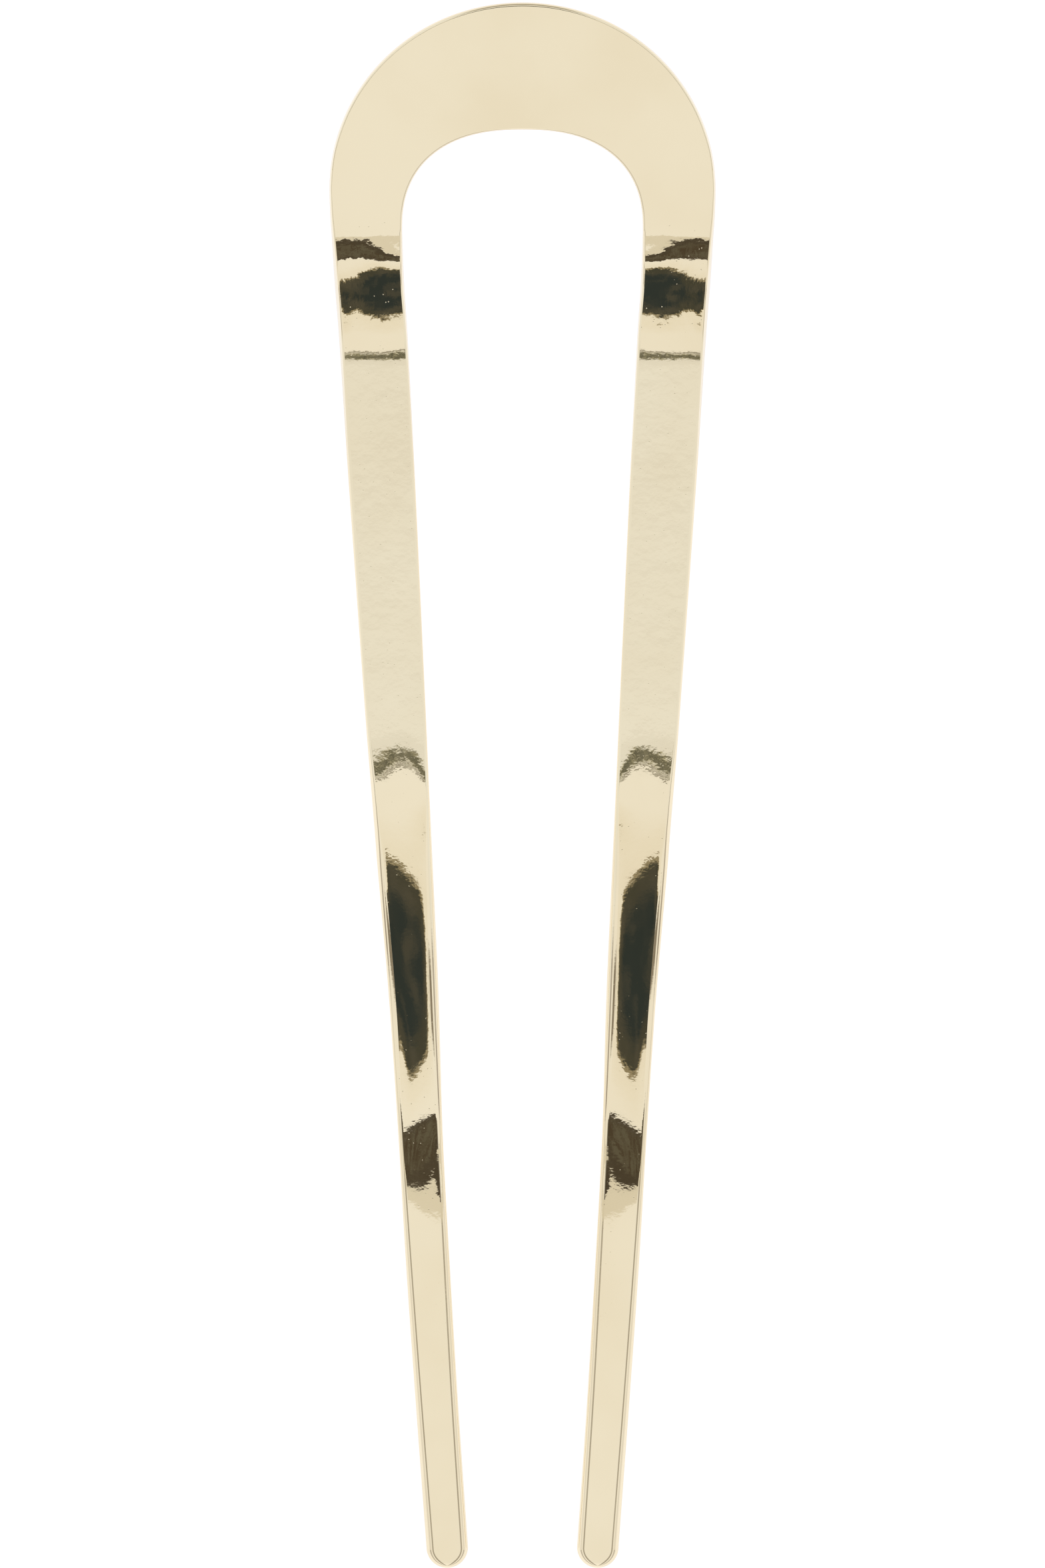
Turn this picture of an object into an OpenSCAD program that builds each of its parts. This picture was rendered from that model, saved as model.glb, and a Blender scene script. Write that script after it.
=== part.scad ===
// Two-legged metal hair fork: a flat head that runs round in a U, a short bend at the neck,
// two tapering legs, a long gentle bend and two round tips, all in one piece.
// It lies face up on z = 0 as it rests by itself, on the underside of the neck and on the tips.
// The head points to +Y, and the origin is under the middle of its box.

/* [Head] */
// Half of the width of the head at its widest
head_half_width = 16.05; // [14:0.05:18]
// Distance from the head end to the widest place
head_depth = 15.6; // [13:0.1:17]
// How full the head's outline is, where 2 is an ellipse
head_fullness = 2.01; // [2:0.01:2.4]
// Half of the width of the arch between the legs
arch_half_width = 9.95; // [8:0.05:11]
// Distance from the head end to the widest place of the arch
arch_depth = 18.9; // [18:0.1:18.9]
// Height of the arch above its widest place
arch_height = 8.3; // [7:0.1:9]
// How full the arch is, where 2 is an ellipse
arch_fullness = 2.38; // [2:0.01:3]

/* [Section] */
// Thickness of the metal
thickness = 1.8; // [1.6:0.1:2.4]
// Rise of the face in the middle of the head's band
head_crown = 0.015; // [0:0.005:0.08]
// Fall of the face towards the outer rim at the sides of the head
head_lean = 0.07; // [0:0.01:0.1]
// Width of the rounding on the outer rim of the head
head_outer_edge = 0.26; // [0.15:0.01:0.4]
// Width of the rounding on the inner rim of the head
head_inner_edge = 0.22; // [0.1:0.01:0.4]
// How many times deeper than wide the face's outer rounding is at the sides of the head
head_outer_depth = 2; // [1:0.1:3]
// The same for the inner rounding
head_inner_depth = 1.4; // [1:0.1:3]

/* [Bends] */
// Length of the flat head, from the head end to the neck bend
head_length = 19.2; // [18.9:0.1:20]
// Length of the quick start of the neck bend
neck_start_length = 0.4; // [0.4:0.1:1.5]
// Turn of that start, in degrees
neck_start_turn = 2; // [1:0.1:3]
// Length of the upper part of the neck bend
neck_upper_length = 2.5; // [2:0.1:4]
// Turn of the upper part, in degrees
neck_upper_turn = 2.75; // [2:0.05:4]
// Length of the tight middle of the neck bend
neck_middle_length = 4; // [2:0.1:5]
// Turn of the middle, in degrees
neck_middle_turn = 5.9; // [4:0.1:8]
// Length of the lower part, where the neck bend eases off
neck_lower_length = 4.3; // [2:0.1:6]
// Turn of the lower part, in degrees
neck_lower_turn = 3.6; // [2:0.1:5]
// Length of the upper legs
leg_length = 30.8; // [25:0.1:35]
// Slight turn over the length of the upper legs, in degrees
leg_turn = 0.85; // [0.5:0.05:2]
// Length of the long bend
long_bend_length = 41; // [30:0.5:50]
// Turn of the long bend, in degrees
long_bend_turn = 12.5; // [8:0.5:15]
// Length of the straight lower legs, with the tips
tip_length = 28.2; // [22:0.1:35]

/* [Hidden] */

// Runs of the side profile from the head end to the tips: length, turn upwards, steps
RUN_LENGTH = 0;
RUN_TURN = 1;
RUN_STEPS = 2;
runs = [
    [head_length, 0, 3],
    [neck_start_length, neck_start_turn, 2],
    [neck_upper_length, neck_upper_turn, 3],
    [neck_middle_length, neck_middle_turn, 5],
    [neck_lower_length, neck_lower_turn, 3],
    [leg_length, leg_turn, 8],
    [long_bend_length, -long_bend_turn, 22],
    [tip_length, 0, 7]
];
neck_middle = 3;
pin_length = run_start(len(runs));

// Sections of a leg: share of the way from the shoulder to the tip, half of the width over
// both legs as a share of the head's, half of the gap as a share of the arch's, width of the
// outer and of the inner rounding, rise of the face in its middle, its fall to the inner side,
// its fall to the outer side, and how many times deeper than wide the face's two roundings are
AT = 0;
OUTER = 1;
INNER = 2;
OUTER_EDGE = 3;
INNER_EDGE = 4;
CROWN = 5;
FALL = 6;
LEAN = 7;
OUTER_DEPTH = 8;
INNER_DEPTH = 9;
leg_sections = [
    [0.000, 0.990, 1.000, 0.32, 0.25, 0.015, 0.000, 0.070, 2.00, 1.40],
    [0.036, 0.976, 0.985, 0.44, 0.32, 0.012, 0.000, 0.076, 2.60, 2.20],
    [0.075, 0.954, 0.957, 0.40, 0.28, 0.012, 0.000, 0.070, 2.20, 2.00],
    [0.177, 0.905, 0.901, 0.38, 0.26, 0.018, 0.000, 0.030, 1.20, 1.20],
    [0.378, 0.806, 0.798, 0.30, 0.24, 0.018, 0.014, 0.000, 1.30, 1.20],
    [0.425, 0.780, 0.775, 0.42, 0.28, 0.010, 0.034, 0.000, 1.60, 1.20],
    [0.455, 0.763, 0.759, 0.44, 0.40, 0.007, 0.047, 0.000, 1.60, 1.20],
    [0.479, 0.750, 0.747, 0.55, 0.54, 0.004, 0.054, 0.000, 1.00, 1.00],
    [0.580, 0.689, 0.696, 0.56, 0.70, 0.000, 0.061, 0.000, 0.60, 1.00],
    [0.685, 0.640, 0.662, 0.44, 0.50, 0.004, 0.052, 0.000, 0.60, 0.80],
    [0.786, 0.600, 0.603, 0.54, 0.54, 0.010, 0.050, 0.000, 0.80, 0.80],
    [0.887, 0.553, 0.538, 0.58, 0.58, 0.016, 0.030, 0.000, 0.90, 0.90],
    [1.000, 0.497, 0.454, 0.62, 0.62, 0.020, 0.000, 0.000, 1.00, 1.00]
];

// Steps of the outline round the head, and round one half of a tip
head_steps = 22;
tip_steps = 8;
// Steps of each rounded corner, and of the face between the corners
corner_steps = 4;
face_steps = 4;
back_steps = 2;
corner_points = corner_steps + 1;
ring_size = 4 * corner_points + (face_steps - 1) + (back_steps - 1);

last_row = len(leg_sections) - 1;
tip_row = leg_sections[last_row];
tip_outer = head_half_width * tip_row[OUTER];
tip_inner = arch_half_width * tip_row[INNER];
tip_radius = (tip_outer - tip_inner) / 2;
tip_middle = (tip_outer + tip_inner) / 2;
tip_start = pin_length - tip_radius;
leg_reach = tip_start - head_length;

function unit(v) = v / norm(v);

function mix(a, b, share) = a + (b - a) * share;

// Slope of a column at a row, and its smooth value at a share of the way
function slope(row, column) =
    let (a = max(row - 1, 0), b = min(row + 1, last_row))
    (leg_sections[b][column] - leg_sections[a][column]) / (leg_sections[b][AT] - leg_sections[a][AT]);

function row_before(share, row = 0) =
    row + 1 < last_row && leg_sections[row + 1][AT] <= share ? row_before(share, row + 1) : row;

function leg_value(share, column) =
    let (
        row = row_before(share),
        span = leg_sections[row + 1][AT] - leg_sections[row][AT],
        t = (share - leg_sections[row][AT]) / span,
        from = leg_sections[row][column],
        to = leg_sections[row + 1][column]
    )
    from * (2 * t * t * t - 3 * t * t + 1)
    + to * (3 * t * t - 2 * t * t * t)
    + span * slope(row, column) * t * (1 - t) * (1 - t)
    - span * slope(row + 1, column) * t * t * (1 - t);

// A station is a cut across the metal, in the flat: its outer and inner point, the directions
// inwards from them, the two roundings, the face (crown, fall, lean) and the depths of the
// face's two roundings. A point is [x, distance from the head end].
function cut(outer, inner, outer_edge, inner_edge, face, depths) =
    [outer, inner, unit(inner - outer), unit(outer - inner), outer_edge, inner_edge, face, depths];

// Quarter of an outline: a superellipse from its top to its side
function quarter(half_width, depth, fullness, angle) =
    [half_width * pow(cos(angle), 2 / fullness), -depth * pow(sin(angle), 2 / fullness)];

function head_cut(angle) = cut(
    [0, head_depth] + quarter(head_half_width, head_depth, head_fullness, angle),
    [0, arch_depth] + quarter(arch_half_width, arch_height, arch_fullness, angle),
    head_outer_edge, head_inner_edge,
    [head_crown, 0, head_lean * pow(1 - angle / 90, 4)],
    [mix(1, head_outer_depth, min(2 - angle / 45, 1)), head_inner_depth]);

// The cuts below the widest place of the head turn until they lie straight across the legs
function shoulder_cut(share) =
    let (end = leg_cut(head_length))
    cut(
        [mix(head_half_width, end[0][0], share * share), mix(head_depth, head_length, share)],
        [mix(arch_half_width, end[1][0], share), mix(arch_depth, head_length, share)],
        mix(head_outer_edge, end[4], share), mix(head_inner_edge, end[5], share),
        [head_crown, 0, head_lean], [head_outer_depth, head_inner_depth]);

function leg_cut(distance) =
    let (share = (distance - head_length) / leg_reach)
    cut(
        [head_half_width * leg_value(share, OUTER), distance],
        [arch_half_width * leg_value(share, INNER), distance],
        leg_value(share, OUTER_EDGE), leg_value(share, INNER_EDGE),
        [leg_value(share, CROWN), leg_value(share, FALL), leg_value(share, LEAN)],
        [leg_value(share, OUTER_DEPTH), leg_value(share, INNER_DEPTH)]);

// The cuts round a tip fan out from its middle
function tip_cut(angle) =
    let (middle = [tip_middle, tip_start], side = [cos(angle), 0], down = [0, sin(angle)])
    [
        middle + tip_radius * (down + side), middle + tip_radius * (down - side),
        -down - side, side - down,
        tip_row[OUTER_EDGE], tip_row[INNER_EDGE], [tip_row[CROWN] * cos(angle), 0, 0], [1, 1]
    ];

function run_start(run) = run == 0 ? 0 : run_start(run - 1) + runs[run - 1][RUN_LENGTH];

leg_distances = [
    for (run = [1 : len(runs) - 1])
        let (
            start = run_start(run),
            reach = run == len(runs) - 1 ? tip_start - start : runs[run][RUN_LENGTH]
        )
        for (step = [1 : runs[run][RUN_STEPS]]) start + reach * step / runs[run][RUN_STEPS]
];

// Half of the pin, from the middle of the head to the last cut of the tip
shoulder_steps = runs[0][RUN_STEPS];
half = concat(
    [for (step = [0 : head_steps]) head_cut(90 - 90 * step / head_steps)],
    [for (step = [1 : shoulder_steps]) shoulder_cut(step / shoulder_steps)],
    [for (distance = leg_distances) leg_cut(distance)],
    [for (step = [1 : tip_steps - 1]) tip_cut(90 * step / tip_steps)]
);

// Height of the face or the back from the middle of the metal, at a share of the way across
// from the outer side
function height(face, share) =
    thickness / 2 + 4 * face[0] * share * (1 - share)
    - face[1] * share * share - face[2] * (1 - share) * (1 - share);

flat_face = [0, 0, 0];

// Points of one corner, from the face or the back (0) to the rim (90), at one side
function corner(point, inwards, edge, side, angles, start = thickness / 2, depth = 1) = [
    for (angle = angles)
        let (flat = point + inwards * edge * (1 - sin(angle)))
        [flat[0], flat[1], side * (start - edge * depth * (1 - cos(angle)))]
];

// Points across the face or the back, between the corners
function across(outer, inner, shares, side, face) = [
    for (share = shares)
        let (flat = mix(outer, inner, share))
        [flat[0], flat[1], side * height(face, share)]
];

to_rim = [for (step = [0 : corner_steps]) 90 * step / corner_steps];
from_rim = [for (step = [0 : corner_steps]) 90 - 90 * step / corner_steps];
back_shares = [for (step = [1 : back_steps - 1]) step / back_steps];
face_shares = [for (step = [1 : face_steps - 1]) 1 - step / face_steps];

function ring(station) =
    let (
        outer = station[0], inner = station[1],
        from_outer = station[2], from_inner = station[3],
        outer_edge = station[4], inner_edge = station[5],
        face = station[6], depths = station[7],
        outer_flat = outer + from_outer * outer_edge,
        inner_flat = inner + from_inner * inner_edge
    )
    concat(
        corner(outer, from_outer, outer_edge, 1, to_rim, height(face, 0), depths[0]),
        corner(outer, from_outer, outer_edge, -1, from_rim),
        across(outer_flat, inner_flat, back_shares, -1, flat_face),
        corner(inner, from_inner, inner_edge, -1, to_rim),
        corner(inner, from_inner, inner_edge, 1, from_rim, height(face, 1), depths[1]),
        across(outer_flat, inner_flat, face_shares, 1, face));

// The very end of a tip: the line from its face over its rim to its back
tip_edge = tip_row[OUTER_EDGE];
end_line = concat(
    corner([tip_middle, pin_length], [0, -1], tip_edge, 1, to_rim),
    corner([tip_middle, pin_length], [0, -1], tip_edge, -1, from_rim));

// Place of the middle of the metal at a distance from the head end: [run, height, heading]
function along(run, distance, heading) =
    let (turn = runs[run][RUN_TURN] * distance / runs[run][RUN_LENGTH])
    turn == 0
        ? distance * [cos(heading), sin(heading)]
        : distance / (turn * PI / 180)
            * [sin(heading + turn) - sin(heading), cos(heading) - cos(heading + turn)];

function place(distance, heading, run = 0, start = [0, 0]) =
    run == len(runs) - 1 || distance <= runs[run][RUN_LENGTH]
        ? let (spot = start + along(run, distance, heading))
            [spot[0], spot[1], heading + runs[run][RUN_TURN] * distance / runs[run][RUN_LENGTH]]
        : place(distance - runs[run][RUN_LENGTH], heading + runs[run][RUN_TURN], run + 1,
            start + along(run, runs[run][RUN_LENGTH], heading));

function bent(point, tilt) =
    let (spot = place(point[1], tilt))
    [
        point[0],
        -spot[0] + point[2] * sin(spot[2]),
        spot[1] + point[2] * cos(spot[2])
    ];

// At rest a level line touches the round underside of the neck and the round end of the tips
neck_radius = neck_middle_length / (neck_middle_turn * PI / 180);
neck_spot = place(run_start(neck_middle), 0);
neck_centre = [
    neck_spot[0] - neck_radius * sin(neck_spot[2]),
    neck_spot[1] + neck_radius * cos(neck_spot[2])
];
tip_spot = place(pin_length - tip_edge, 0);
tip_centre = [
    tip_spot[0] + (thickness / 2 - tip_edge) * sin(tip_spot[2]),
    tip_spot[1] - (thickness / 2 - tip_edge) * cos(tip_spot[2])
];
between = tip_centre - neck_centre;
rest_tilt = asin((tip_edge - neck_radius - thickness / 2) / norm(between))
    - atan2(between[1], between[0]);

// All rings, from the end of the left leg over the head to the end of the right leg
half_rings = [for (station = half) ring(station)];
half_last = len(half) - 1;
rings = concat(
    [for (i = [half_last : -1 : 1]) [for (point = half_rings[i]) [-point[0], point[1], point[2]]]],
    half_rings);
ring_count = len(rings);
end_size = len(end_line);
flat_points = concat(
    [for (one = rings) for (point = one) point],
    [for (point = end_line) [-point[0], point[1], point[2]]],
    end_line);
loose_points = [for (point = flat_points) bent(point, rest_tilt)];

low = min([for (point = loose_points) point[2]]);
front = min([for (point = loose_points) point[1]]);
back = max([for (point = loose_points) point[1]]);
points = [for (point = loose_points) point - [0, (front + back) / 2, low]];

// A ring's place on the end line: the two corners of a side fold together there, and so do
// the points across the face and the back
function end_place(i) =
    i < 2 * corner_points ? i
    : i < 2 * corner_points + back_steps - 1 ? end_size - 1
    : i < 4 * corner_points + back_steps - 1 ? end_size - 1 - (i - 2 * corner_points - back_steps + 1)
    : 0;

left_end = ring_count * ring_size;
right_end = left_end + end_size;

function quad(a, b, c, d) = [[a, b, c], [a, c, d]];

function wall(first, second) = [
    for (i = [0 : ring_size - 1])
        let (next = (i + 1) % ring_size)
        for (face = quad(first[i], first[next], second[next], second[i])) face
];

function ring_indices(number) = [for (i = [0 : ring_size - 1]) number * ring_size + i];

function end_indices(start) = [for (i = [0 : ring_size - 1]) start + end_place(i)];

rows = concat(
    [end_indices(left_end)],
    [for (number = [0 : ring_count - 1]) ring_indices(number)],
    [end_indices(right_end)]);

// Triangles that fold to a line at the ends are left out
faces = [
    for (i = [0 : len(rows) - 2])
        for (face = wall(rows[i], rows[i + 1]))
            if (face[0] != face[1] && face[1] != face[2] && face[2] != face[0]) face
];

module hair_fork() {
    color([0.92, 0.87, 0.74])
        polyhedron(points = points, faces = faces, convexity = 8);
}

hair_fork();
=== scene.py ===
import math

import bmesh
import bpy
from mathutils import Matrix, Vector


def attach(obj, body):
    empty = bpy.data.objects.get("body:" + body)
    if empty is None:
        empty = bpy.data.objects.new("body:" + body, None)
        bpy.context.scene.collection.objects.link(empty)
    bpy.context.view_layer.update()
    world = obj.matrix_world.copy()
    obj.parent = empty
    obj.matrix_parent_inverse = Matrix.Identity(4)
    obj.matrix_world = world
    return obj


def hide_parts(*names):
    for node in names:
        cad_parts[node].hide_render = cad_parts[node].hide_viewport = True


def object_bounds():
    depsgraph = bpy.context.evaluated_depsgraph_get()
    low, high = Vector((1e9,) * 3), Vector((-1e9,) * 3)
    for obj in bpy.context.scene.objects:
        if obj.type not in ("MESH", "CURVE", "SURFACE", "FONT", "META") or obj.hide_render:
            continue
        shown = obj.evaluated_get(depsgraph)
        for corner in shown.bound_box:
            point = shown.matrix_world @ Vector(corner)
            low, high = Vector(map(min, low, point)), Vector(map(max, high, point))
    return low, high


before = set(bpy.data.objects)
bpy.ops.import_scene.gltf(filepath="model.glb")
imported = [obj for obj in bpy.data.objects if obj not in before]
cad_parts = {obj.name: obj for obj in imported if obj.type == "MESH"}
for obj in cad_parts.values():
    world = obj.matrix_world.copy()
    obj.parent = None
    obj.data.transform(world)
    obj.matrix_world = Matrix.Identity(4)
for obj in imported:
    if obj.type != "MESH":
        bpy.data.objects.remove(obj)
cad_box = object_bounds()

MM = 0.001

# The photograph's frame: the picture's height at the surface the pin lies on, and the camera
CAMERA_HEIGHT = 1200 * MM
PICTURE_HEIGHT = 130.2 * MM
CAMERA_ALONG = 0.1 * MM
SENSOR_WIDTH = 36.0
VIEW_DEPTH = 10.0
FLOOR_SIZE = 6.0

# Driving sizes of the pin, as in the part's source
HEAD_HALF_WIDTH = 16.05 * MM
HEAD_DEPTH = 15.6 * MM
HEAD_FULLNESS = 2.01
ARCH_HALF_WIDTH = 9.95 * MM
ARCH_DEPTH = 18.9 * MM
ARCH_HEIGHT = 8.3 * MM
ARCH_FULLNESS = 2.38
THICKNESS = 1.8 * MM
HEAD_CROWN = 0.015 * MM
HEAD_LEAN = 0.070 * MM
HEAD_EDGE_DEPTHS = (2.0, 1.4)
HEAD_OUTER_EDGE = 0.26 * MM
HEAD_INNER_EDGE = 0.22 * MM

# Runs of the side profile from the head end to the tips: length, degrees turned upwards, and
# the number of cuts
LENGTH, TURN, STEPS = range(3)
RUNS = [
    (19.2 * MM, 0.0, 5),
    (0.4 * MM, 2.0, 5),
    (2.5 * MM, 2.75, 18),
    (4.0 * MM, 5.9, 25),
    (4.3 * MM, 3.6, 22),
    (30.8 * MM, 0.85, 40),
    (41.0 * MM, -12.5, 110),
    (28.2 * MM, 0.0, 34),
]
NECK_MIDDLE = 3
HEAD_LENGTH = RUNS[0][LENGTH]
PIN_LENGTH = sum(run[LENGTH] for run in RUNS)

# Sections of a leg: share of the way from the shoulder to the tip, half of the width over
# both legs as a share of the head's, half of the gap as a share of the arch's, width of the
# outer and of the inner rounding, rise of the face in its middle, its fall to the inner side,
# its lean to the outer side, and how many times deeper than wide the face's outer and inner
# roundings are
AT, OUTER, INNER, OUTER_EDGE, INNER_EDGE, CROWN, FALL, LEAN, OUTER_DEEP, INNER_DEEP = range(10)
LEG_SECTIONS = [
    # at, outer, inner, outer edge, inner edge, crown, fall, lean, depths of both edges
    (0.000, 0.990, 1.000, 0.32, 0.25, 0.015, 0.000, 0.070, 2.00, 1.40),
    (0.036, 0.976, 0.985, 0.44, 0.32, 0.012, 0.000, 0.076, 2.60, 2.20),
    (0.075, 0.954, 0.957, 0.40, 0.28, 0.012, 0.000, 0.070, 2.20, 2.00),
    (0.177, 0.905, 0.901, 0.38, 0.26, 0.018, 0.000, 0.030, 1.20, 1.20),
    (0.378, 0.806, 0.798, 0.30, 0.24, 0.018, 0.014, 0.000, 1.30, 1.20),
    (0.425, 0.780, 0.775, 0.42, 0.28, 0.010, 0.034, 0.000, 1.60, 1.20),
    (0.455, 0.763, 0.759, 0.44, 0.40, 0.007, 0.047, 0.000, 1.60, 1.20),
    (0.479, 0.750, 0.747, 0.55, 0.54, 0.004, 0.054, 0.000, 1.00, 1.00),
    (0.580, 0.689, 0.696, 0.56, 0.70, 0.000, 0.061, 0.000, 0.60, 1.00),
    (0.685, 0.640, 0.662, 0.44, 0.50, 0.004, 0.052, 0.000, 0.60, 0.80),
    (0.786, 0.600, 0.603, 0.54, 0.54, 0.010, 0.050, 0.000, 0.80, 0.80),
    (0.887, 0.553, 0.538, 0.58, 0.58, 0.016, 0.030, 0.000, 0.90, 0.90),
    (1.000, 0.497, 0.454, 0.62, 0.62, 0.020, 0.000, 0.000, 1.00, 1.00),
]

# Slight dents and swells that bending left in the face: way from the head end, share of the
# way across from the outer side, height, reach in millimetres towards the head and the tips,
# reach across as a share, and how suddenly it ends at the sides
WAY, ACROSS, HEIGHT, ABOVE, BELOW, ASIDE, SQUARE = range(7)
DENTS = [
    (19.50 * MM, 1.05, 0.008 * MM, 0.5, 0.8, 0.50, 2),
    (21.60 * MM, 1.05, -0.023 * MM, 1.10, 5.0, 0.57, 2),
    (22.15 * MM, 1.05, -0.024 * MM, 1.35, 4.0, 0.35, 1),
    (23.90 * MM, 0.66, 0.016 * MM, 5.0, 3.0, 0.30, 1),
    (25.00 * MM, 1.05, 0.008 * MM, 3.0, 1.6, 0.40, 1),
    (26.30 * MM, -0.02, 0.022 * MM, 1.8, 1.8, 0.11, 1),
    (66.10 * MM, -0.05, 0.020 * MM, 2.6, 4.5, 0.35, 1),
    (66.10 * MM, 1.05, 0.046 * MM, 2.8, 3.3, 0.25, 1),
    (70.70 * MM, 1.05, -0.014 * MM, 4.0, 4.0, 0.50, 1),
    (72.80 * MM, -0.02, -0.010 * MM, 3.5, 3.0, 0.055, 1),
    (80.00 * MM, 1.05, -0.009 * MM, 8.0, 8.0, 0.12, 1),
    (88.00 * MM, -0.12, -0.028 * MM, 7.0, 7.0, 0.28, 1),
    (98.40 * MM, -0.05, 0.030 * MM, 5.0, 4.0, 0.50, 1),
    (99.50 * MM, 1.20, -0.080 * MM, 5.0, 13.0, 0.70, 1),
    (96.60 * MM, 1.05, -0.026 * MM, 2.0, 2.0, 0.12, 1),
]
LAST_ROW = len(LEG_SECTIONS) - 1
TIP = LEG_SECTIONS[LAST_ROW]
TIP_EDGE = TIP[OUTER_EDGE] * MM
TIP_OUTER = HEAD_HALF_WIDTH * TIP[OUTER]
TIP_INNER = ARCH_HALF_WIDTH * TIP[INNER]
TIP_RADIUS = (TIP_OUTER - TIP_INNER) / 2
TIP_MIDDLE = (TIP_OUTER + TIP_INNER) / 2
TIP_START = PIN_LENGTH - TIP_RADIUS
LEG_REACH = TIP_START - HEAD_LENGTH

# How finely the polished metal is drawn
HEAD_STEPS = 60
SHOULDER_STEPS = 6
TIP_STEPS = 18
CORNER_STEPS = 8
FACE_STEPS = 32
BACK_STEPS = 6
# First and last points of the face and of the back, just inside the roundings
FACE_ENDS = (0.004, 0.996)
# Angle at which a rounding starts from the face, with a fine crease between the two
CREASE = math.radians(9)
# Points closer than this are one
SAME_POINT = 1e-7


def mix(a, b, share):
    return a + (b - a) * share


def slope(row, column):
    """Slope of a column of the leg's sections at a row."""
    a, b = LEG_SECTIONS[max(row - 1, 0)], LEG_SECTIONS[min(row + 1, LAST_ROW)]
    return (b[column] - a[column]) / (b[AT] - a[AT])


def leg_value(share, column):
    """Smooth value of a column at a share of the way down a leg."""
    row = 0
    while row + 1 < LAST_ROW and LEG_SECTIONS[row + 1][AT] <= share:
        row += 1
    start, end = LEG_SECTIONS[row], LEG_SECTIONS[row + 1]
    span = end[AT] - start[AT]
    t = (share - start[AT]) / span
    unit = MM if column in (OUTER_EDGE, INNER_EDGE, CROWN, FALL, LEAN) else 1.0
    return unit * (
        start[column] * (2 * t**3 - 3 * t**2 + 1)
        + end[column] * (3 * t**2 - 2 * t**3)
        + span * slope(row, column) * t * (1 - t) ** 2
        - span * slope(row + 1, column) * t**2 * (1 - t)
    )


class Cut:
    """A cut across the flat metal: outer and inner point, roundings, face, ways inwards."""

    def __init__(self, outer, inner, edges, face, depths=(1.0, 1.0), ways=None):
        self.outer, self.inner = Vector(outer), Vector(inner)
        across = (self.inner - self.outer).normalized()
        self.from_outer, self.from_inner = ways or (across, -across)
        self.outer_edge, self.inner_edge = edges
        self.crown, self.fall, self.lean = face
        self.outer_depth, self.inner_depth = depths

    def face_height(self, share):
        """Height of the face above the middle of the metal, at a share of the way across."""
        height = THICKNESS / 2 + 4 * self.crown * share * (1 - share)
        height -= self.fall * share**2 + self.lean * (1 - share) ** 2
        distance = self.outer.lerp(self.inner, share).y
        for dent in DENTS:
            off = distance - dent[WAY]
            reach = (dent[ABOVE] if off < 0 else dent[BELOW]) * MM
            aside = abs(share - dent[ACROSS]) / dent[ASIDE]
            height += dent[HEIGHT] * math.exp(-((off / reach) ** 2) - aside ** (2 * dent[SQUARE]))
        return height


def quarter(half_width, depth, fullness, angle):
    """Point on a quarter of a superellipse, from its top to its side."""
    sine, cosine = max(math.sin(angle), 0.0), max(math.cos(angle), 0.0)
    return Vector((half_width * cosine ** (2 / fullness), -depth * sine ** (2 / fullness)))


def head_cut(share):
    angle = math.pi / 2 * (1 - share)
    outer = quarter(HEAD_HALF_WIDTH, HEAD_DEPTH, HEAD_FULLNESS, angle)
    inner = quarter(ARCH_HALF_WIDTH, ARCH_HEIGHT, ARCH_FULLNESS, angle)
    return Cut(
        Vector((0, HEAD_DEPTH)) + outer,
        Vector((0, ARCH_DEPTH)) + inner,
        (HEAD_OUTER_EDGE, HEAD_INNER_EDGE), (HEAD_CROWN, 0.0, HEAD_LEAN * share**4),
        (mix(1.0, HEAD_EDGE_DEPTHS[0], min(2 * share, 1.0)), HEAD_EDGE_DEPTHS[1]),
    )


def leg_cut(distance):
    share = (distance - HEAD_LENGTH) / LEG_REACH
    return Cut(
        (HEAD_HALF_WIDTH * leg_value(share, OUTER), distance),
        (ARCH_HALF_WIDTH * leg_value(share, INNER), distance),
        (leg_value(share, OUTER_EDGE), leg_value(share, INNER_EDGE)),
        (leg_value(share, CROWN), leg_value(share, FALL), leg_value(share, LEAN)),
        (leg_value(share, OUTER_DEEP), leg_value(share, INNER_DEEP)),
    )


def shoulder_cut(share):
    """The cuts below the widest place turn until they lie straight across the legs."""
    end = leg_cut(HEAD_LENGTH)
    return Cut(
        (mix(HEAD_HALF_WIDTH, end.outer.x, share**2), mix(HEAD_DEPTH, HEAD_LENGTH, share)),
        (mix(ARCH_HALF_WIDTH, end.inner.x, share), mix(ARCH_DEPTH, HEAD_LENGTH, share)),
        (mix(HEAD_OUTER_EDGE, end.outer_edge, share), mix(HEAD_INNER_EDGE, end.inner_edge, share)),
        (HEAD_CROWN, 0.0, HEAD_LEAN), HEAD_EDGE_DEPTHS,
    )


def tip_cut(share):
    """The cuts round a tip fan out from its middle, and the last one folds to a line."""
    angle = math.pi / 2 * share
    middle = Vector((TIP_MIDDLE, TIP_START))
    side = Vector((math.cos(angle), 0))
    down = Vector((0, math.sin(angle)))
    return Cut(
        middle + TIP_RADIUS * (down + side), middle + TIP_RADIUS * (down - side),
        (TIP_EDGE, TIP_EDGE), (TIP[CROWN] * MM * math.cos(angle), 0.0, 0.0),
        ways=(-down - side, side - down),
    )


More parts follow.
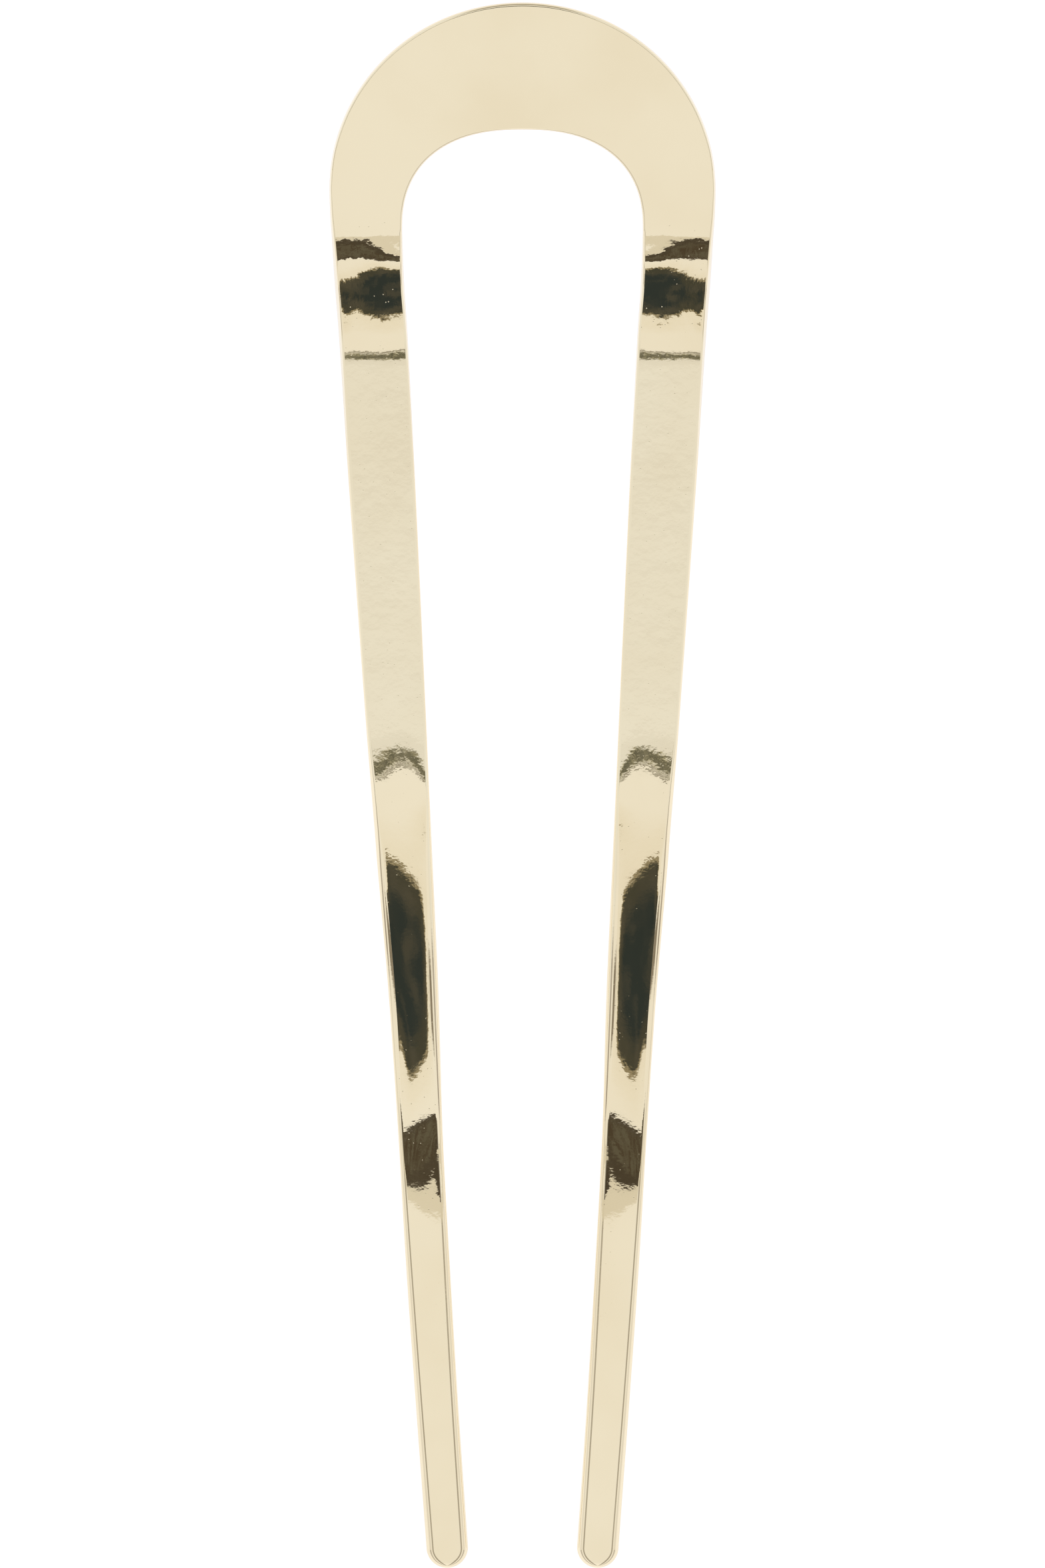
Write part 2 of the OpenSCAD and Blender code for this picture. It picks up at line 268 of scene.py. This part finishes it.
def half_cuts():
    """Cuts of half of the pin, from the middle of the head to the end of a tip."""
    cuts = [head_cut(step / HEAD_STEPS) for step in range(HEAD_STEPS + 1)]
    cuts += [shoulder_cut(step / SHOULDER_STEPS) for step in range(1, SHOULDER_STEPS + 1)]
    start = HEAD_LENGTH
    for run in RUNS[1:]:
        reach, steps = min(run[LENGTH], TIP_START - start), run[STEPS]
        cuts += [leg_cut(start + reach * step / steps) for step in range(1, steps + 1)]
        start += run[LENGTH]
    cuts += [tip_cut(step / TIP_STEPS) for step in range(1, TIP_STEPS + 1)]
    return cuts


def corner(point, inwards, edge, start, side, deep=1.0):
    """Points of one rounded corner, from the face or the back to the rim."""
    points = []
    for step in range(CORNER_STEPS + 1):
        angle = mix(CREASE, math.pi / 2, step / CORNER_STEPS)
        reach = (math.sin(angle) - math.sin(CREASE)) / (1 - math.sin(CREASE))
        flat = point + inwards * edge * (1 - reach)
        drop = edge * deep * (math.cos(CREASE) - math.cos(angle))
        points.append((flat.x, flat.y, side * (start - drop)))
    return points


def ring(cut):
    """All points of a cut's outline, once round."""
    outer_flat = cut.outer + cut.from_outer * cut.outer_edge
    inner_flat = cut.inner + cut.from_inner * cut.inner_edge
    back_height = THICKNESS / 2
    outer_face = corner(
        cut.outer, cut.from_outer, cut.outer_edge, cut.face_height(0), 1, cut.outer_depth
    )
    outer_back = corner(cut.outer, cut.from_outer, cut.outer_edge, back_height, -1)
    inner_face = corner(
        cut.inner, cut.from_inner, cut.inner_edge, cut.face_height(1), 1, cut.inner_depth
    )
    inner_back = corner(cut.inner, cut.from_inner, cut.inner_edge, back_height, -1)
    face, back = [], []
    for step in range(FACE_STEPS + 1):
        share = mix(*FACE_ENDS, step / FACE_STEPS)
        face.append((*outer_flat.lerp(inner_flat, share), cut.face_height(share)))
    for step in range(BACK_STEPS + 1):
        share = mix(*FACE_ENDS, step / BACK_STEPS)
        back.append((*outer_flat.lerp(inner_flat, share), -back_height))
    return outer_face + outer_back[::-1] + back + inner_back + inner_face[::-1] + face[::-1]


def along(length, turn, distance, heading):
    """Way covered in a run up to a distance: forwards and up."""
    turned = math.radians(turn) * distance / length
    if abs(turned) < 1e-9:
        return distance * Vector((math.cos(heading), math.sin(heading)))
    return distance / turned * Vector((
        math.sin(heading + turned) - math.sin(heading),
        math.cos(heading) - math.cos(heading + turned),
    ))


def place(distance, heading):
    """Spot of the middle of the metal, and its heading, at a distance from the head end."""
    spot = Vector((0, 0))
    for run in RUNS:
        here = distance if run is RUNS[-1] else min(distance, run[LENGTH])
        spot = spot + along(run[LENGTH], run[TURN], here, heading)
        heading += math.radians(run[TURN]) * here / run[LENGTH]
        distance -= here
        if distance <= 0:
            break
    return spot, heading


def rest_tilt():
    """Heading of the head when the neck's underside and the tips lie on one level."""
    neck = RUNS[NECK_MIDDLE]
    neck_radius = neck[LENGTH] / math.radians(neck[TURN])
    spot, heading = place(sum(run[LENGTH] for run in RUNS[:NECK_MIDDLE]), 0.0)
    neck_centre = spot + neck_radius * Vector((-math.sin(heading), math.cos(heading)))
    spot, heading = place(PIN_LENGTH - TIP_EDGE, 0.0)
    depth = THICKNESS / 2 - TIP_EDGE
    tip_centre = spot + depth * Vector((math.sin(heading), -math.cos(heading)))
    way = tip_centre - neck_centre
    lift = math.asin((TIP_EDGE - neck_radius - THICKNESS / 2) / way.length)
    return lift - math.atan2(way.y, way.x)


def bent(point, tilt):
    """Place in the lying pin of a point of the flat metal."""
    x, distance, height = point
    spot, heading = place(distance, tilt)
    return Vector((
        x,
        -spot.x + height * math.sin(heading),
        spot.y + height * math.cos(heading),
    ))


def lying_rings():
    """Rings of half of the pin as it lies, fitted to the box of the part."""
    tilt = rest_tilt()
    rings = [[bent(point, tilt) for point in ring(cut)] for cut in half_cuts()]
    points = [point for one in rings for point in one]
    for axis in (1, 2):
        low = min(point[axis] for point in points)
        high = max(point[axis] for point in points)
        start, end = cad_box[0][axis], cad_box[1][axis]
        scale = min((end - start) / (high - low), 1.0)
        for point in points:
            point[axis] = start + (point[axis] - low) * scale
    return rings


def draw_out(name, rings):
    """A closed skin, drawn out ring by ring from a circle of points."""
    bpy.ops.object.select_all(action="DESELECT")
    bpy.ops.mesh.primitive_circle_add(vertices=len(rings[0]), radius=THICKNESS)
    piece = bpy.context.object
    piece.name = piece.data.name = name
    bpy.ops.object.mode_set(mode="EDIT")
    mesh = bmesh.from_edit_mesh(piece.data)
    order = mesh.verts.layers.int.new("order")
    for number, vert in enumerate(mesh.verts):
        vert[order] = number
    bmesh.update_edit_mesh(piece.data)
    bpy.ops.mesh.select_all(action="SELECT")
    for number, one in enumerate(rings):
        if number:
            bpy.ops.mesh.extrude_region_move()
        mesh = bmesh.from_edit_mesh(piece.data)
        order = mesh.verts.layers.int["order"]
        for vert in mesh.verts:
            if vert.select:
                vert.co = one[vert[order]]
        bmesh.update_edit_mesh(piece.data)
    bpy.ops.mesh.select_all(action="SELECT")
    bpy.ops.mesh.remove_doubles(threshold=SAME_POINT)
    bpy.ops.mesh.normals_make_consistent(inside=False)
    bpy.ops.object.mode_set(mode="OBJECT")
    piece.data.attributes.remove(piece.data.attributes["order"])
    return piece


def polished_fork():
    """The whole pin: one half drawn out, and its mirror image joined on at the head."""
    piece = draw_out("hair_fork_polished", lying_rings())
    mirror = piece.modifiers.new("other_leg", "MIRROR")
    mirror.use_axis = (True, False, False)
    mirror.merge_threshold = SAME_POINT
    bpy.ops.object.modifier_apply(modifier=mirror.name)
    bpy.ops.object.shade_smooth()
    return piece


class Value:
    """A shader socket that takes part in plain arithmetic."""

    def __init__(self, tree, socket):
        self.tree, self.socket = tree, socket

    def maths(self, operation, other=0.0, swapped=False):
        first, second = (other, self) if swapped else (self, other)
        return node(self.tree, "ShaderNodeMath", {"operation": operation}, {0: first, 1: second})

    def __add__(self, other):
        return self.maths("ADD", other)

    __radd__ = __add__

    def __mul__(self, other):
        return self.maths("MULTIPLY", other)

    __rmul__ = __mul__

    def __sub__(self, other):
        return self.maths("SUBTRACT", other)

    def __rsub__(self, other):
        return self.maths("SUBTRACT", other, swapped=True)

    def __truediv__(self, other):
        return self.maths("DIVIDE", other)

    def __rtruediv__(self, other):
        return self.maths("DIVIDE", other, swapped=True)


def node(tree, kind, settings=None, inputs=None, output=0):
    """Adds a node, sets it up, feeds its sockets, and gives back one of its outputs."""
    made = tree.nodes.new(kind)
    for key, value in (settings or {}).items():
        setattr(made, key, value)
    for key, value in (inputs or {}).items():
        if isinstance(value, Value):
            tree.links.new(value.socket, made.inputs[key])
        else:
            made.inputs[key].default_value = value
    return Value(tree, made.outputs[output]) if made.outputs else None


def between(value, low, high, start=0.0, end=1.0):
    """Smooth step of a value, from start at low to end at high."""
    return node(
        value.tree, "ShaderNodeMapRange", {"interpolation_type": "SMOOTHSTEP"},
        {"Value": value, "From Min": low, "From Max": high, "To Min": start, "To Max": end},
    )


def band(value, low, high, soft=0.2):
    """Share that is 1 from low to high, with a soft edge across each of the two."""
    start = between(value, low - soft / 2, low + soft / 2)
    return start * between(value, high - soft / 2, high + soft / 2, 1.0, 0.0)


def blend(share, first, second):
    """Mix of two colours."""
    return node(
        share.tree, "ShaderNodeMix", {"data_type": "RGBA"},
        {"Factor": share, 6: first, 7: second}, output=2,
    )


def noise(spot, scale, detail=2.0):
    return node(
        spot.tree, "ShaderNodeTexNoise", {}, {"Vector": spot, "Scale": scale, "Detail": detail}
    )


def parts_of(vector):
    """The x, y and z of a place or a direction."""
    split = node(vector.tree, "ShaderNodeSeparateXYZ", {}, {0: vector}).socket.node
    return [Value(vector.tree, socket) for socket in split.outputs]


def stretch(spot, low, high, soft):
    """Share that is 1 between two places along the pin and fades beyond them."""
    return band(parts_of(spot)[1], low - soft / 2, high + soft / 2, soft)


def new_tree(owner):
    """The empty node tree of a material or of the world."""
    owner.use_nodes = True
    owner.node_tree.nodes.clear()
    return owner.node_tree


# Gold of the plating, and where it is a little deeper
PALE_GOLD = (0.900, 0.800, 0.590, 1.0)
DEEP_GOLD = (0.865, 0.755, 0.540, 1.0)
# Stretches along the pin where the tight bend of the neck and the long bend have roughened the
# polish: low end, high end, how softly it fades
NECK = (0.0385, 0.0460, 0.0012)
LONG_BEND = (-0.0370, 0.0040, 0.004)
# Fineness of the marks in the plating, in marks to the metre
WASH = 90.0
WAVES = 250.0
CLOUDS = 700.0
RIPPLE = 1000.0
PIN_HOLES = 1700.0
PEEL = 3400.0
STREAKS = 3600.0
# The polish runs along the pin, so its streaks are longer than they are wide
STREAK_SHAPE = (1.0, 0.4, 1.0)
MARK_HEIGHT = 0.001 * MM
# Roughness of the clearest and of the dullest spots
CLEAR, DULL = 0.015, 0.035


def pale_gold():
    """Mirror-polished pale gold plating with the slight peel and pin holes of such plating."""
    material = bpy.data.materials.new("pale_gold_polished")
    tree = new_tree(material)
    spot = node(tree, "ShaderNodeTexCoord", output=3)
    colour = blend(between(noise(spot, WASH, 3.0), 0.3, 0.8), PALE_GOLD, DEEP_GOLD)
    neck = stretch(spot, *NECK)
    bend = stretch(spot, *LONG_BEND)
    drawn = node(
        tree, "ShaderNodeVectorMath", {"operation": "MULTIPLY"}, {0: spot, 1: STREAK_SHAPE}
    )
    cells = node(
        tree, "ShaderNodeTexVoronoi", {"feature": "F1"}, {"Vector": spot, "Scale": PIN_HOLES}
    )
    height = (
        noise(spot, PEEL, 1.0) * (0.5 + neck * 0.4 + bend * 0.2)
        + noise(drawn, STREAKS, 1.0) * (0.1 + neck * 0.8 + bend * 0.2)
        + noise(spot, RIPPLE, 1.0) * (1.6 + neck * 2.2)
        + noise(spot, WAVES, 1.0) * 2.4
        + between(cells, 0.03, 0.09) * (0.4 + neck * 2.2 + bend * 0.3)
    )
    bump = node(
        tree, "ShaderNodeBump", {}, {"Strength": 1.0, "Distance": MARK_HEIGHT, "Height": height}
    )
    roughness = between(noise(spot, CLOUDS, 4.0), 0.3, 0.8, CLEAR, DULL)
    shader = node(
        tree, "ShaderNodeBsdfPrincipled", {},
        {"Base Color": colour, "Metallic": 1.0, "Roughness": roughness, "Normal": bump},
    )
    node(tree, "ShaderNodeOutputMaterial", {}, {"Surface": shader})
    return material


SURFACE_GREY = (0.35, 0.35, 0.35, 1.0)
SURFACE_GLOW = (0.45, 0.45, 0.47, 1.0)
# Brighter, bluer glow of the floor round the head: a painted pool of light
HEAD_PAINTED_LIGHT_POOL = (0.46, 0.49, 0.61, 1.0)
GLOW_STRENGTH = 1.7
# Stretch round the head where the floor glows brighter, a painted pool of light: low end, high
# end, how softly it fades
PAINTED_POOL_ROUND_THE_HEAD = (0.034, 0.064, 0.010)


def pale_floor():
    """A plain white surface lit from below, as a light table is, with a painted pool of brighter,
    bluer light round the head.
    """
    material = bpy.data.materials.new("white_surface")
    tree = new_tree(material)
    spot = node(tree, "ShaderNodeTexCoord", output=3)
    shader = node(
        tree, "ShaderNodeBsdfPrincipled", {},
        {
            "Base Color": SURFACE_GREY, "Roughness": 0.9, "Emission Strength": GLOW_STRENGTH,
            # The glow is even, except round the head, where a painted pool of light makes it
            # brighter
            "Emission Color": blend(stretch(spot, *PAINTED_POOL_ROUND_THE_HEAD), SURFACE_GLOW, HEAD_PAINTED_LIGHT_POOL),
        },
    )
    node(tree, "ShaderNodeOutputMaterial", {}, {"Surface": shader})
    return material


# The surroundings that the metal mirrors. Places in them are given in degrees from straight up,
# or as parts of the direction.
DEGREES = 180 / math.pi
HORIZON = 0.02
LENS_MIDDLE = -0.4
# The opening is an oval, far wider to the sides than along the pin
OVAL_SHARE = 0.05
# Light of the tent overhead, low down at its sides, and low at the far end
TENT_LIGHT = (0.945, 0.945, 0.945, 1.0)
LOW_LIGHT = (1.03, 1.03, 1.05, 1.0)
FAR_END_LIGHT = (0.80, 0.76, 0.70, 1.0)
OUTSIDE_LIGHT = (0.88, 0.915, 0.955, 1.0)
RIM_SHADE = (0.80, 0.80, 0.80, 1.0)
LENS_SHADE = (0.88, 0.85, 0.78, 1.0)
BEHIND_SHADE = (0.42, 0.38, 0.31, 1.0)
NEAR_GAP = (0.13, 0.095, 0.050, 1.0)
FAR_GAP = (0.13, 0.085, 0.055, 1.0)
# The dark bar across the opening, its folds, and the grey beside it
BAR = (0.075, 0.062, 0.045, 1.0)
BAR_FOLDS = (0.078, 0.060, 0.040, 1.0), (0.125, 0.115, 0.086, 1.0)
BAR_SIDE = (0.76, 0.73, 0.655, 1.0)
# The hem of the opening: its folds, the line in their middle, and the thin line before them
HEM_FOLDS = (0.135, 0.130, 0.090, 1.0), (0.430, 0.410, 0.290, 1.0)
HEM_LINE = (0.10, 0.10, 0.075, 1.0)
THIN_LINE = (0.17, 0.15, 0.10, 1.0)
CAMERA_EDGE = (0.32, 0.28, 0.19, 1.0)
CAMERA_BODY = (0.064, 0.064, 0.050, 1.0), (0.086, 0.082, 0.066, 1.0)
CAMERA_GLASS = (0.031, 0.041, 0.043, 1.0)


def light_tent():
    """Light from all sides, with the dark camera opening and the gaps of the tent overhead."""
    world = bpy.data.worlds.new("light_tent")
    tree = new_tree(world)
    way = node(tree, "ShaderNodeTexCoord")
    x, y, z = parts_of(way)
    # Degrees to the sides and along the pin, and with them the rings round the camera and the
    # long ovals round the opening
    up = z.maths("MAXIMUM", HORIZON)
    sideways = (x / up).maths("ARCTANGENT") * DEGREES
    lengthways = (y / up).maths("ARCTANGENT") * DEGREES
    side = sideways.maths("ABSOLUTE")
    slant = y * DEGREES
    off = lengthways - LENS_MIDDLE
    lens = (off * off + sideways * sideways).maths("SQRT")
    rim = (lengthways * lengthways + sideways * sideways * OVAL_SHARE).maths("SQRT")
    overhead = between(side, 29.0, 16.0)
    ahead = between(lengthways, 0.0, 4.0)
    opening = ahead * between(side, 18.0, 11.0)

    # The fine gaps of the tent at both sides, deeper on the side of the tips
    mottle = between(noise(way, 90.0), 0.35, 0.65, 0.75, 1.0)
    level = band(slant, -3.1, 1.0, 1.5) * band(side, 7.0, 34.0, 2.0) * 0.92
    tilted = between(slant, -9.0, -13.0) * band(side, 17.0, 34.0, 2.0) * 0.68
    near_gap = (level + tilted) * mottle
    far_dark = (
        band(slant, -4.6, 2.4, 2.0) * 0.60
        + between(slant, 0.0, -4.0, 0.05, 0.22)
        + between(slant, -15.5, -19.0) * 0.33
    )
    far_gap = band(side, 50.0, 70.0, 4.0) * far_dark * mottle
    behind = between(y, 0.42, 0.52) * between(y, 0.84, 0.92, 1.0, 0.0) * between(x * x, 0.12, 0.03)

    # Cloth and metal up there are a little mottled
    bar_folds = blend(between(noise(way, 70.0), 0.35, 0.65), *BAR_FOLDS)
    hem_folds = blend(between(noise(way, 240.0), 0.40, 0.60), *HEM_FOLDS)
    blotch = noise(way, 20.0, 1.0)
    body = blend(between(blotch, 0.35, 0.65), *CAMERA_BODY)
    glass = between(lens, 4.8, 3.3) * between(blotch, 0.75, 0.45, 0.30, 0.95)

    low_light = blend(between(y, 0.85, 0.97), LOW_LIGHT, FAR_END_LIGHT)
    colour = blend(between(z, 0.72, 0.50), TENT_LIGHT, low_light)
    # Each layer lies over the ones before it: its share, and its colour
    layers = [
        (between(rim, 10.9, 11.5) * ahead * 0.5, OUTSIDE_LIGHT),
        (band(rim, 11.2, 12.1, 0.4) * ahead * 0.5, RIM_SHADE),
        (between(lens, 8.5, 6.0) * 0.6, LENS_SHADE),
        (behind * 0.9, BEHIND_SHADE),
        (near_gap, NEAR_GAP),
        (far_gap, FAR_GAP),
        (band(lengthways, -13.4, -12.0, 0.4) * 0.9, BAR_SIDE),
        (band(lengthways, -12.1, -8.6) * overhead, BAR),
        (band(lengthways, -11.2, -9.0, 0.6) * overhead * 0.9, bar_folds),
        (band(rim, 10.5, 11.3, 0.3) * opening * 0.95, hem_folds),
        (band(rim, 10.7, 11.1, 0.3) * opening * 0.7, HEM_LINE),
        (band(rim, 10.2, 10.4, 0.1) * opening * 0.8, THIN_LINE),
        (between(lens, 6.0, 5.8), CAMERA_EDGE),
        (between(lens, 5.7, 5.4), body),
        (glass, CAMERA_GLASS),
    ]
    for share, shade in layers:
        colour = blend(share, colour, shade)
    light = node(tree, "ShaderNodeBackground", {}, {"Color": colour, "Strength": 1.0})
    node(tree, "ShaderNodeOutputWorld", {}, {"Surface": light})
    bpy.context.scene.world = world


def floor():
    """The surface that the pin lies on."""
    bpy.ops.object.select_all(action="DESELECT")
    bpy.ops.mesh.primitive_plane_add(size=FLOOR_SIZE)
    plane = bpy.context.object
    plane.name = plane.data.name = "floor"
    plane.data.materials.append(pale_floor())


def camera():
    """Straight above the pin, with the photograph's frame."""
    data = bpy.data.cameras.new("camera")
    data.sensor_width = SENSOR_WIDTH
    data.lens = SENSOR_WIDTH * CAMERA_HEIGHT / PICTURE_HEIGHT
    data.clip_end = VIEW_DEPTH
    eye = bpy.data.objects.new("camera", data)
    eye.location = (0, CAMERA_ALONG, CAMERA_HEIGHT)
    bpy.context.scene.collection.objects.link(eye)
    bpy.context.scene.camera = eye


camera()
light_tent()
floor()
fork = polished_fork()
fork.data.materials.append(pale_gold())
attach(fork, "root")
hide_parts("hair_fork")
bpy.context.scene.view_settings.view_transform = "Standard"
